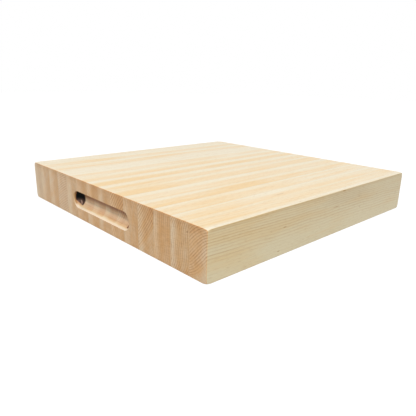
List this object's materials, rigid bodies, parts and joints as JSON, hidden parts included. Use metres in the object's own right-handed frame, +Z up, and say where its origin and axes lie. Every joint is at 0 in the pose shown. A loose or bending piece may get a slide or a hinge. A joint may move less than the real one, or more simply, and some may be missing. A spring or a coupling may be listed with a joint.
{
  "type": "butcher block cutting board",
  "caption": "Thick square butcher block cutting board: edge-glued maple staves, eased edges, and a routed finger cove in each end-grain face for lifting.",
  "frame": {"origin": "middle of the underside, on the surface that the board lies on", "axes": "+X along the grain, from the pictured finger cove to the other one; +Y across the staves, away from the pictured long side; +Z up"},
  "size_m": [0.4572, 0.4572, 0.0635],
  "materials": {
    "maple_pale": "sanded and oiled hard maple, palest staves",
    "maple_cream": "sanded and oiled hard maple, cream staves",
    "maple_honey": "sanded and oiled hard maple, amber staves",
    "glue": "cured wood glue, scraped and sanded flush"
  },
  "bodies": {
    "root": {"stave_01": "maple_honey", "stave_02": "maple_cream", "stave_03": "maple_cream", "stave_04": "maple_pale", "stave_05": "maple_honey", "stave_06": "maple_cream", "stave_07": "maple_cream", "stave_08": "maple_honey", "stave_09": "maple_cream", "stave_10": "maple_cream", "stave_11": "maple_pale", "stave_12": "maple_honey", "stave_13": "maple_cream", "stave_14": "maple_cream", "glue_line_01": "glue", "glue_line_02": "glue", "glue_line_03": "glue", "glue_line_04": "glue", "glue_line_05": "glue", "glue_line_06": "glue", "glue_line_07": "glue", "glue_line_08": "glue", "glue_line_09": "glue", "glue_line_10": "glue", "glue_line_11": "glue", "glue_line_12": "glue", "glue_line_13": "glue"}
  },
  "joints": []
}
